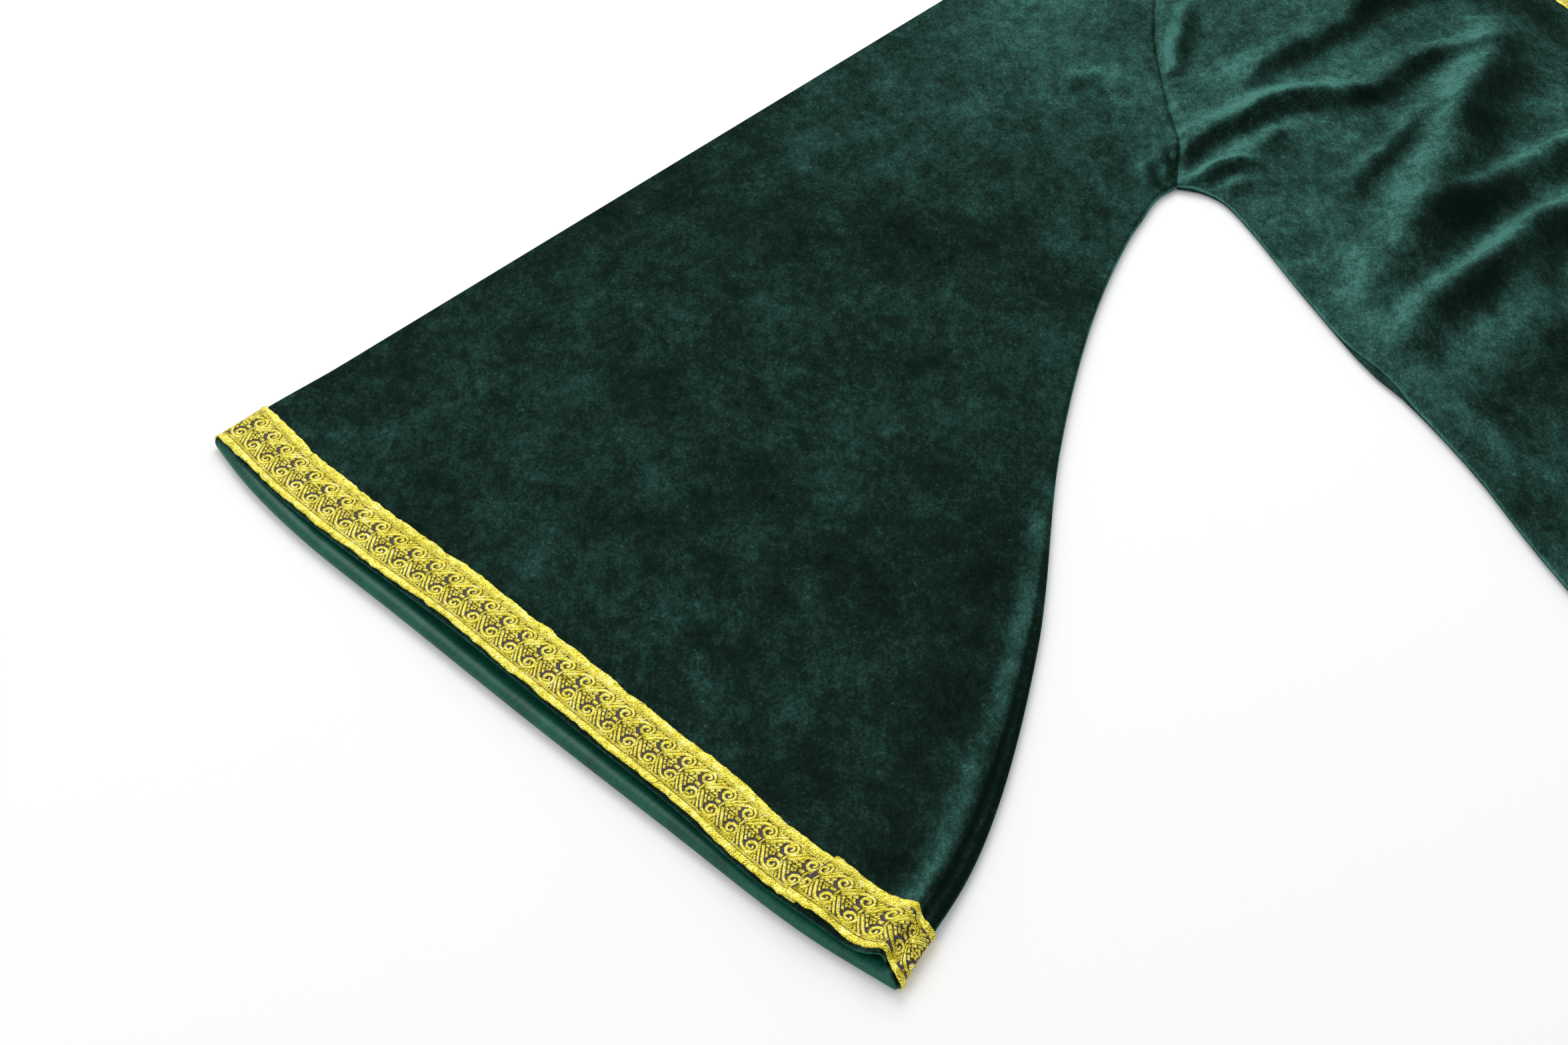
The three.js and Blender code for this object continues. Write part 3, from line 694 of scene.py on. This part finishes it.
def back():
    length, seam = side_seam.length, raglan["back"].length
    skirt = joined(FINE, spread(4.6, 30, 5), spread(30, length - 40, 16), spread(length - 40, length, 5))
    yoke = joined(spread(2, seam - 5, 7), seam - np.array(FINE))
    edge, centre, share = panel_rows("back", skirt, yoke)
    near = joined(FINE, spread(4.6, 24, 3.2))
    columns = [(-1, d) for d in near] + [(t, 24) for t in spread(-1, 1, 1 / 26)[1:-1]]
    toward, inset = np.array(columns + [(1, d) for d in near[::-1]]).T
    half_width = HALF_CHEST + edge[:, :1]
    x = toward * (half_width - inset)
    across = x / half_width
    neck_edge, neck_start = neckline(NECK_DEPTH["back"], NECK_SEAM_ANGLE["back"])
    from_centre = across * (HALF_CHEST + neck_edge) / HALF_NECK
    neck_up = NECK_POINT - NECK_DEPTH["back"] * np.sqrt(1 - from_centre**2)
    up, mid, v = edge[:, 1:], centre[:, None], share[:, None]
    skirt_up = mid + (up - mid) * across**2
    y = np.where(v > 0, up + (neck_up - neck_start) * v**2, skirt_up)
    low = half_width - np.abs(x)
    seamed = sewn(up)
    bottom = (1 - seamed) * MIDDLE * (1 - lip(low, MIDDLE)) - seamed * seam_valley(low * 0.8, 0 * low, 7)
    bottom = np.maximum(bottom, 0)
    top = CLOTH + (1 - seamed) * (MIDDLE - CLOTH) * (1 - np.clip(low / 0.3, 0, 1))
    hem, neck = end_distances(skirt, seam - yoke)
    full = lip(hem, 1.2) * lip(neck, 1.2) + 0 * low
    middle, half = (top + bottom) / 2, (top - bottom) / 2 * full
    outer = np.stack([x, y + ORIGIN_UP, middle - half], -1)
    inner = np.stack([x, y + ORIGIN_UP, middle + half], -1)
    points, quads, inside = wall(outer, inner)
    rows, count = len(share) - 1, len(toward) - 1
    jersey_side = inside[rows * count:2 * rows * count].reshape(rows, count)
    jersey_side[:, :len(near)] = jersey_side[:, -len(near):] = 0
    piece = mesh_piece("velour_back", points, quads, [velour, jersey], inside, 0.56 + 0 * points[:, 0])
    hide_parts("back")


# ---- woven ribbon
# A repeat of the ribbon runs along it from a tie, over two spirals and their leaves, to the point in which
# the two stems meet. Places are (along, from the middle), and the lower half mirrors the upper one.
PITCH = 11.3
SKEW = 0.2  # the weave leans by this much along the ribbon
FIELD_MIDDLE = RIBBON_WIDTH / 2
SPIRAL_AT = (1.2, 4.95)
STEM = [(10.1, 0.5), (8.7, 2.1), (7.0, 4.1), (5.5, 5.85), (4.0, 7.05)]
SPIRAL_RADIUS = [(60, 2.72), (250, 2.66), (330, 2.2), (430, 1.2), (620, 0.75)]  # degrees, radius
SPIRAL_STEP = 36
LEAVES = [  # points and half width
    ([(5.45, 8.0), (7.05, 6.4), (8.65, 4.5), (10.0, 2.75), (11.0, 1.3)], 0.60),
    ([(7.35, 8.1), (8.25, 6.9), (9.0, 5.9)], 0.60),
    ([(9.15, 8.25), (9.2, 6.7)], 0.50),
    ([(10.45, 8.3), (9.95, 7.6)], 0.46),
    ([(7.75, 0.95), (6.5, 2.3)], 0.62),
    ([(6.2, 2.65), (4.95, 4.15)], 0.62),
    ([(6.0, 0.85), (4.75, 2.3)], 0.62),
    ([(4.55, 0.8), (3.9, 1.6)], 0.56),
]
MIDDLE_LINES = [
    ([(0.0, -1.5), (0.0, 1.5)], 0.52),
    ([(0.95, 0.0), (3.5, 0.0)], 0.85),
    ([(4.1, 0.0), (7.0, 0.0)], 0.50),
    ([(7.55, 0.0), (9.0, 0.0)], 0.66),
]
STEM_HALF = 0.80
SPIRAL_END_HALF = 0.52


def motif():
    """The gold lines of one repeat: points along and across the ribbon, and half widths."""
    degrees, radii = np.array(SPIRAL_RADIUS, float).T
    turn = np.linspace(degrees[0], degrees[-1], round((degrees[-1] - degrees[0]) / SPIRAL_STEP))
    radius, turn = np.interp(turn, degrees, radii), np.radians(turn)
    spiral = np.stack([SPIRAL_AT[0] + radius * np.cos(turn), SPIRAL_AT[1] + radius * np.sin(turn)], -1)
    stem = np.vstack([STEM, spiral])
    halves = np.interp(np.arange(len(stem)), [len(STEM) + 8, len(stem) - 1], [STEM_HALF, SPIRAL_END_HALF])
    strokes = lambda table: [(np.array(points), np.full(len(points), half)) for points, half in table]
    lines = [(stem, halves), *strokes(LEAVES)]
    lines += [(path * (1, -1), half) for path, half in lines]
    lines += strokes(MIDDLE_LINES)
    return [(path - SKEW * path[:, 1:] * (1, 0), half) for path, half in lines]


class Strip:
    """The cloth under a ribbon, as a grid that is read anywhere and at any height above it."""

    def __init__(self, across, surface, raised):  # raised: the same places, 1 mm above the surface
        self.across, self.surface, self.raised = across, surface, raised
        middle = surface[:, len(across) // 2]
        self.along = np.concatenate([[0], np.cumsum(np.linalg.norm(np.diff(middle, axis=0), axis=1))])
        self.length = self.along[-1]

    def at(self, q, v, height):
        def cell(lines, x):
            k = np.clip(np.searchsorted(lines, x, side="right") - 1, 0, len(lines) - 2)
            return k, ((x - lines[k]) / (lines[k + 1] - lines[k]))[..., None]

        (i, a), (j, b) = cell(self.along, q), cell(self.across, v)

        def blend(grid):
            near = grid[i, j] * (1 - a) + grid[i + 1, j] * a
            far = grid[i, j + 1] * (1 - a) + grid[i + 1, j + 1] * a
            return near * (1 - b) + far * b

        low = blend(self.surface)
        return low + (blend(self.raised) - low) * height[..., None]


# A gold line's section: shares of its half width, and heights above the ribbon's ground
LINE_SECTION = ((-1, -0.15), (-0.74, 0.40), (0.74, 0.40), (1, -0.15))


def gold_lines(paths):
    """Flat-topped ridges along paths, as (along, across, height), and their faces."""
    coords, quads = [], []
    number = 0
    for path, half in paths:
        tangent = np.gradient(path, axis=0)
        tangent /= np.maximum(np.linalg.norm(tangent, axis=1), 1e-9)[:, None]
        aside = np.stack([-tangent[:, 1], tangent[:, 0]], -1) * np.asarray(half)[:, None]
        count = len(path)
        ring = np.empty((count, 4, 3))
        for k, (share, height) in enumerate(LINE_SECTION):
            ring[:, k, :2] = path + share * aside
            ring[:, k, 2] = FIELD_TOP + height
        coords.append(ring.reshape(-1, 3))
        ends = np.array([range(4), range(4 * count - 1, 4 * count - 5, -1)])
        quads += [grid_quads(count, 4, ring=True) + number, ends + number]
        number += 4 * count
    return np.concatenate(coords), np.concatenate(quads)


BAND = 3.0  # width of the gold edge band
FIELD_TOP = 0.5
EDGE_COLUMNS = np.array([0, 0.3, 0.9, 1.6, 2.3, 2.8, 3.15])
V_COLUMNS = np.concatenate([EDGE_COLUMNS, [8.0, 12.5, 17.0], RIBBON_WIDTH - EDGE_COLUMNS[::-1]])
BORDER_LINES = (3.55, 4.1)  # two thin gold lines inside each band
BORDER_HALF = 0.22
TUCK_DEPTH, TUCK_EASE = 1.7, 14.0


def edge_wave(q, side, seed):
    """How far a woven edge stands out, in long waves and short picots."""
    wave = 0.42 * soft_noise(q, side * 7.0, 9.0, seed) + 0.34 * soft_noise(q, side * 3.0, 3.1, seed + 1)
    return wave + 0.2 * soft_noise(q, side * 2.0, 1.5, seed + 8)


def ribbon(name, strip, step, seed, phase, slant=0.0, tuck=None):
    """A ribbon on a strip of cloth: woven ground, bumpy gold edge bands and the raised gold lines.

    Its ends are cut on a slant. Between the two places of tuck it is set further in from the hem.
    """
    length = strip.length

    def lay(q, v, wave, height):
        first, last = np.exp(-q / 12), np.exp((q - length) / 12)
        cut = q + slant * (np.clip((22 - v) / 20, 0, 1.2) * first - np.clip((v - 2) / 20, 0, 1.2) * last)
        inwards = 1.0 + 0.6 * line_noise(q, 42.0, seed + 2)
        if tuck:
            start, end = tuck
            tucked = smoothstep(q, start, start + TUCK_EASE) * (1 - smoothstep(q, end - TUCK_EASE, end))
            inwards = inwards + TUCK_DEPTH * tucked
        return strip.at(cut, v + wave + inwards, height)

    q = np.linspace(0.02, length - 0.02, round(length / step))
    Q, V = np.meshgrid(q, V_COLUMNS, indexing="ij")
    side = np.where(V > FIELD_MIDDLE, 1, -1)
    from_edge = FIELD_MIDDLE - np.abs(V - FIELD_MIDDLE)
    wave = edge_wave(Q, side, seed) * np.exp(-from_edge / 1.1) * side
    band = from_edge < BAND + 0.02
    bumps = 0.26 * soft_noise(Q, V * 1.3, 1.9, seed + 3) + 0.14 * soft_noise(Q * 1.7, V, 1.3, seed + 4)
    top = FIELD_TOP + band * (0.35 * lip(from_edge, 1.1) * lip(BAND + 0.3 - from_edge, 0.8) + bumps)
    buckle = 0.35 * (1 + soft_noise(Q, side * 5.0, 14.0, seed + 5)) * np.exp(-from_edge / 3.0)
    top += buckle
    low = np.full_like(top, 0.12) + buckle * 0.8
    top = np.maximum(top, low + 0.15)
    outer, inner = lay(Q, V, wave, top), lay(Q, V, wave, low)
    points, quads, slots = wall(outer, inner)
    middle = (V_COLUMNS[:-1] + V_COLUMNS[1:]) / 2
    on_ground = np.minimum(middle, RIBBON_WIDTH - middle) >= BAND + 0.1
    slots[:(len(q) - 1) * len(middle)] = np.tile(on_ground, len(q) - 1)
    paths = []
    for k in range(int(length / PITCH) + 2):
        for path, half in motif():
            line = path + (k * PITCH - phase, FIELD_MIDDLE)
            keep = (line[:, 0] > 0.6) & (line[:, 0] < length - 0.6)
            if keep.sum() >= 2:
                paths.append((line[keep], half[keep]))
    for inset in BORDER_LINES:
        for v_line in (inset, RIBBON_WIDTH - inset):
            run = spread(1.0, length - 1.0, 4.5)
            wander = 0.1 * line_noise(run, 5.0, seed + 6, v_line)
            paths.append((np.stack([run, v_line + wander], -1), np.full(len(run), BORDER_HALF)))
    coords, line_quads = gold_lines(paths)
    lines = lay(coords[:, 0], coords[:, 1], 0, coords[:, 2])
    flat = np.stack([Q, V, 0 * Q], -1).reshape(-1, 3)
    woven = ribbon_piece(f"woven_{name}", points, quads, [gold, ground], slots, np.concatenate([flat, flat]))
    raised = ribbon_piece(f"gold_{name}", lines, line_quads, [gold], None, coords * (1, 1, 0))
    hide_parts(name)


def ribbon_piece(name, points, quads, materials, slots, places):
    """A mesh that keeps each point's place on the flat ribbon."""
    points[:, 2] = np.maximum(points[:, 2], 0.02)
    piece = mesh_piece(name, points, quads, materials, slots)
    layer = piece.data.attributes.new("woven", "FLOAT_VECTOR", "POINT")
    layer.data.foreach_set("vector", places.astype(np.float32).ravel())
    return piece


ACROSS = np.arange(0, 31, 2.0)  # lines of a strip of cloth, from the hem or the front edge inwards
OVERLAP = (0.095, 0.125)  # where the cuff ribbon starts and ends, as shares of the front's width
OVERLAP_RISE = 1.25
OVERLAP_SLANT = 6.4  # mm
TUCK = (358, 765)  # stretch of the cuff ribbon that lies under the back layer, in mm along it


def cuff_strip(side, folds):
    columns = [ring_column(share=t) for t in spread(OVERLAP[0], 1, 1 / 440)]
    columns += edge_columns(1, spread(78, -78, 13))
    columns += [ring_column(share=1 - t, angle=-90) for t in spread(0, 1, 1 / 300)]
    columns += edge_columns(-1, spread(-78, 78, 13))
    flat_end = len(columns)
    columns += [ring_column(share=t) for t in spread(0, OVERLAP[1], 1 / 640)]
    ring = np.array(columns).T
    layers = [sleeve_surface(side, folds, ACROSS, ring, HALF + up).transpose(1, 0, 2) for up in (0, 1)]
    rise = OVERLAP_RISE * smoothstep(ring[2], OVERLAP[0] - 0.03, OVERLAP[0] - 0.004)
    rise[:flat_end] = 0
    for layer in layers:
        layer[..., 2] += rise[:, None]
    return Strip(ACROSS, *layers)


def front_strip(side, folds):
    length, seam = side_seam.length, raglan["front"].length
    rows = panel_rows("front", spread(0, length, 3), spread(1.5, seam, 2))
    columns = np.array([(0, v, 1) for v in ACROSS]).T
    place, low, _, part = front_places(*rows, columns)
    z = front_top(side, folds, place, low, part, sewn(rows[0][:, 1:]))
    return Strip(ACROSS, settle(side, place, z), settle(side, place, z + 1))


# ---- materials
class Nodes:
    """Short names for building a material's nodes."""

    def __init__(self, name):
        self.material = bpy.data.materials.new(name)
        self.material.use_nodes = True
        self.tree = self.material.node_tree
        self.shader = self.tree.nodes["Principled BSDF"]
        self.place = self.tree.nodes.new("ShaderNodeTexCoord").outputs["Object"]

    def link(self, source, target):
        self.tree.links.new(source, target)

    def add(self, kind, **settings):
        node = self.tree.nodes.new(kind)
        for key, value in settings.items():
            setattr(node, key, value)
        return node

    def noise(self, scale, detail=2, roughness=0.5, distortion=0.0, stretch=1.0, turn=0.0):
        """Noise that is stretched along its own X, which is turned about Z."""
        mapping = self.add("ShaderNodeMapping", vector_type="TEXTURE")
        mapping.inputs["Scale"].default_value = (stretch, 1, 1)
        mapping.inputs["Rotation"].default_value = (0, 0, turn)
        self.link(self.place, mapping.inputs["Vector"])
        node = self.add("ShaderNodeTexNoise")
        self.link(mapping.outputs["Vector"], node.inputs["Vector"])
        values = {"Scale": scale, "Detail": detail, "Roughness": roughness, "Distortion": distortion}
        for key, value in values.items():
            node.inputs[key].default_value = value
        return node.outputs["Fac"]

    def math(self, operation, a, b=0.0):
        node = self.add("ShaderNodeMath", operation=operation)
        for socket, value in zip(node.inputs, (a, b)):
            if isinstance(value, (int, float)):
                socket.default_value = value
            else:
                self.link(value, socket)
        return node.outputs[0]

    def ramp(self, factor, stops):
        node = self.add("ShaderNodeValToRGB")
        elements = node.color_ramp.elements
        while len(elements) < len(stops):
            elements.new(0.5)
        for element, (position, colour) in zip(elements, stops):
            element.position = position
            element.color = (*colour, 1)
        self.link(factor, node.inputs["Fac"])
        return node.outputs["Color"]

    def mix(self, light, other, share, middle=0.0):
        """light, with a share of what the other one has over its middle."""
        if middle:
            other = self.math("SUBTRACT", other, middle)
        return self.math("ADD", light, self.math("MULTIPLY", other, share))

    def set(self, **values):
        for key, value in values.items():
            self.shader.inputs[key.replace("_", " ")].default_value = value

    def dress(self, shade, stops, height, strength, distance, **values):
        """The material, coloured by shade and roughened by height."""
        self.link(self.ramp(shade, stops), self.shader.inputs["Base Color"])
        bump = self.add("ShaderNodeBump")
        bump.inputs["Strength"].default_value = strength
        bump.inputs["Distance"].default_value = distance
        self.link(height, bump.inputs["Height"])
        self.link(bump.outputs["Normal"], self.shader.inputs["Normal"])
        self.set(**values)
        return self.material


VELOUR_NOISE = (  # scale, detail, roughness, stretch, share
    (24, 5, 0.62, 1.2, 0.62),
    (75, 5, 0.66, 1.35, 0.62),
    (230, 4, 0.7, 1.45, 0.66),
    (800, 2, 0.6, 1.4, 0.60),
)


def make_velour():
    n = Nodes("green_velour")
    # the pile's tone with painted shade, light and sheen, from the mesh
    light = n.add("ShaderNodeAttribute", attribute_name="nap_and_shade").outputs["Fac"]
    for scale, detail, roughness, stretch, share in VELOUR_NOISE:
        cloud = n.noise(scale, detail, roughness, 0.25, stretch, CLUMP_LIE)
        light = n.mix(light, cloud, share, 0.5)
    # painted glints: sparse light flecks of the pile
    painted_glint = n.math("MAXIMUM", n.math("SUBTRACT", n.noise(620, 2, 0.6), 0.62), 0.0)
    light = n.mix(light, painted_glint, 2.2)
    stops = [(0.08, (0.0038, 0.0098, 0.0068)), (0.34, (0.0078, 0.0200, 0.0143)),
             (0.56, (0.0165, 0.047, 0.039)), (0.76, (0.030, 0.094, 0.078)), (1.0, (0.062, 0.19, 0.162))]
    return n.dress(light, stops, n.noise(1250, 2, 0.6), 0.45, 0.0005, Roughness=1.0, Specular_IOR_Level=0.0,
                   Sheen_Weight=0.10, Sheen_Roughness=0.3, Sheen_Tint=(0.12, 0.45, 0.36, 1))


def make_jersey():
    n = Nodes("jersey_reverse")
    ribs = n.noise(900, stretch=14, turn=0.36)
    shade = n.mix(n.math("MULTIPLY", ribs, 0.5), n.noise(60), 0.5)
    stops = [(0.3, (0.004, 0.052, 0.034)), (0.7, (0.010, 0.122, 0.080))]
    return n.dress(shade, stops, ribs, 0.35, 0.0003, Roughness=0.42, Specular_IOR_Level=0.25,
                   Sheen_Weight=0.2, Sheen_Roughness=0.3, Sheen_Tint=(0.15, 0.9, 0.55, 1))


def make_gold():
    n = Nodes("gold_thread")
    woven = n.add("ShaderNodeAttribute", attribute_name="woven").outputs["Vector"]
    split = n.add("ShaderNodeSeparateXYZ")
    n.link(woven, split.inputs[0])
    slant = n.mix(split.outputs["X"], split.outputs["Y"], 0.8)
    turns = n.mix(slant, n.noise(420, 2, 0.6), 3.4)
    ribs = n.mix(0.5, n.math("SINE", n.math("MULTIPLY", turns, 6.3)), 0.5)
    shade = n.mix(n.math("MULTIPLY", n.noise(1700, 2, 0.75), 0.62), n.noise(300, 3, 0.65), 0.38)
    shade = n.mix(shade, ribs, 0.16, 0.55)
    # the top stops, near white, are painted glints of the metal thread
    stops = [(0.32, (0.12, 0.10, 0.001)), (0.42, (0.46, 0.39, 0.004)), (0.50, (0.97, 0.80, 0.014)),
             (0.58, (1.0, 0.94, 0.15)), (0.68, (1.0, 1.0, 0.85))]
    return n.dress(shade, stops, shade, 0.75, 0.0005, Metallic=0.45, Roughness=0.40)


def make_ground():
    n = Nodes("ribbon_ground")
    weave = n.noise(1300, 2, 0.6)
    stops = [(0.35, (0.020, 0.013, 0.018)), (0.62, (0.075, 0.058, 0.055)), (0.78, (0.30, 0.25, 0.08))]
    return n.dress(weave, stops, weave, 0.4, 0.0002, Roughness=0.75)


velour, jersey, gold, ground = make_velour(), make_jersey(), make_gold(), make_ground()

# ---- camera, light and floor
CAMERA_AT = (-1.0179, -0.3915, 0.703)
CAMERA_AIM = (0.3945, 0.6567, -0.6428)  # 40 degrees down
FLOOR_HALF = 6.0
FLOOR_LEVEL = -0.0002
LIGHTS = (  # name, place, aim, size, power
    ("window", (0.2, 1.9, 1.5), (-0.4, 0.3, 0), 1.6, 30),
    ("fill", (-2.2, 0.2, 1.6), (-0.4, 0.3, 0), 1.6, 8),
)

camera = add_object("camera", bpy.data.cameras.new("camera"))
camera.data.sensor_width = 36
camera.data.lens = 62.76
camera.data.clip_end = 50
camera.location = CAMERA_AT
camera.rotation_euler = Vector(CAMERA_AIM).to_track_quat("-Z", "Y").to_euler()
bpy.context.scene.camera = camera

floor_mesh = bpy.data.meshes.new("floor")
corners = [(x * FLOOR_HALF, y * FLOOR_HALF, 0) for x, y in ((-1, -1), (1, -1), (1, 1), (-1, 1))]
floor_mesh.from_pydata(corners, [], [(0, 1, 2, 3)])
floor = add_object("floor", floor_mesh)
floor.location.z = FLOOR_LEVEL
paper = Nodes("white_paper")
paper.set(Base_Color=(0.885, 0.885, 0.89, 1), Roughness=0.9, Emission_Strength=0.1,
          Emission_Color=(1, 1, 1, 1))
floor_mesh.materials.append(paper.material)

world = bpy.data.worlds.new("studio")
bpy.context.scene.world = world
world.use_nodes = True
sky = world.node_tree.nodes["Background"].inputs
sky["Color"].default_value = (1, 0.995, 0.99, 1)
sky["Strength"].default_value = 0.62
bpy.context.scene.view_settings.view_transform = "Standard"

for name, place, aim, size, power in LIGHTS:
    light = add_object(name, bpy.data.lights.new(name, "AREA"))
    light.data.size = size
    light.data.energy = power
    light.location = place
    light.rotation_euler = (Vector(aim) - Vector(place)).to_track_quat("-Z", "Y").to_euler()

# ---- the robe
SIDES = (("right", -1, RIGHT_FOLDS), ("left", 1, LEFT_FOLDS))
RIBBON_SEED = {"right": 200, "left": 300}
CUFF_STEP, FRONT_STEP = 0.9, 2.2  # between the points along a ribbon
CUFF_PHASE, FRONT_PHASE = 2.4, 5.0  # how far into a repeat a ribbon starts

back()
for name, side, folds in SIDES:
    panel = front(f"front_{name}", side, folds)
    arm = sleeve(f"sleeve_{name}", side, folds)
    seed = RIBBON_SEED[name]
    around = cuff_strip(side, folds)
    down = front_strip(side, folds)
    ribbon(f"cuff_ribbon_{name}", around, CUFF_STEP, seed, CUFF_PHASE, OVERLAP_SLANT, TUCK)
    ribbon(f"front_ribbon_{name}", down, FRONT_STEP, seed + 20, FRONT_PHASE)
